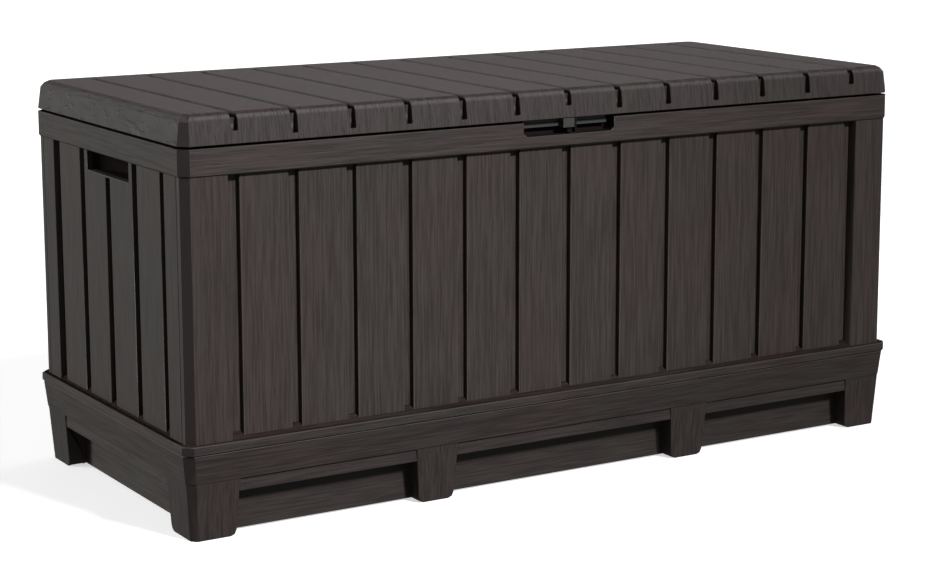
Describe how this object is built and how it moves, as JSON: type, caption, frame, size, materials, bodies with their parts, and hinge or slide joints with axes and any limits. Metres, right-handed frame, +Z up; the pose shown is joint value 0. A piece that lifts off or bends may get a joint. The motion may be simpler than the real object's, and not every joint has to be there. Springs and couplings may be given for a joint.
{
  "type": "deck storage box",
  "caption": "Long resin storage box for a deck or garden, with slatted walls, a footed plinth and a hinged slatted lid that takes a padlock.",
  "frame": {"origin": "on the ground, under the middle of the whole box with its hinges", "axes": "+X along the length, to the right as seen from the front; +Y to the back, where the hinges are; +Z up"},
  "size_m": [1.276, 0.572, 0.602],
  "materials": {
    "wall_resin": "dark espresso brown, vertical wood grain",
    "frame_resin": "dark espresso brown, lengthwise wood grain",
    "lid_resin": "dark espresso brown, wood grain along each slat",
    "inner_resin": "dark brown, smooth moulded",
    "fitting_resin": "dark grey-brown, smooth moulded",
    "steel_pin": "plain steel",
    "zinc_screw": "zinc plated",
    "black_rubber": "matt black"
  },
  "bodies": {
    "box": {"back_panel": "wall_resin", "corner_connector_back_left": "inner_resin", "corner_connector_back_right": "inner_resin", "corner_connector_front_left": "inner_resin", "corner_connector_front_right": "inner_resin", "floor_panel": "inner_resin", "front_panel": "wall_resin", "hinge_base_centre": "fitting_resin", "hinge_base_left": "fitting_resin", "hinge_base_right": "fitting_resin", "hinge_base_screws": "zinc_screw", "hinge_pin_centre": "steel_pin", "hinge_pin_left": "steel_pin", "hinge_pin_right": "steel_pin", "keeper_screws": "zinc_screw", "left_end_panel": "wall_resin", "left_handle_cup": "inner_resin", "lock_keeper": "fitting_resin", "lower_frame": "frame_resin", "plinth": "frame_resin", "right_end_panel": "wall_resin", "right_handle_cup": "inner_resin", "rim_frame": "frame_resin"},
    "lid": {"hinge_leaf_centre": "fitting_resin", "hinge_leaf_left": "fitting_resin", "hinge_leaf_right": "fitting_resin", "hinge_leaf_screws": "zinc_screw", "lid_liner": "inner_resin", "lid_rest_pads": "black_rubber", "lid_shell": "lid_resin", "lock_tab": "fitting_resin", "pull_lip": "fitting_resin"}
  },
  "joints": [
    {"name": "lid_hinge", "type": "hinge", "parent": "box", "child": "lid", "pos_m": [0, 0.27498, 0.557], "axis": [-1, 0, 0], "range_deg": [0, 100]}
  ]
}
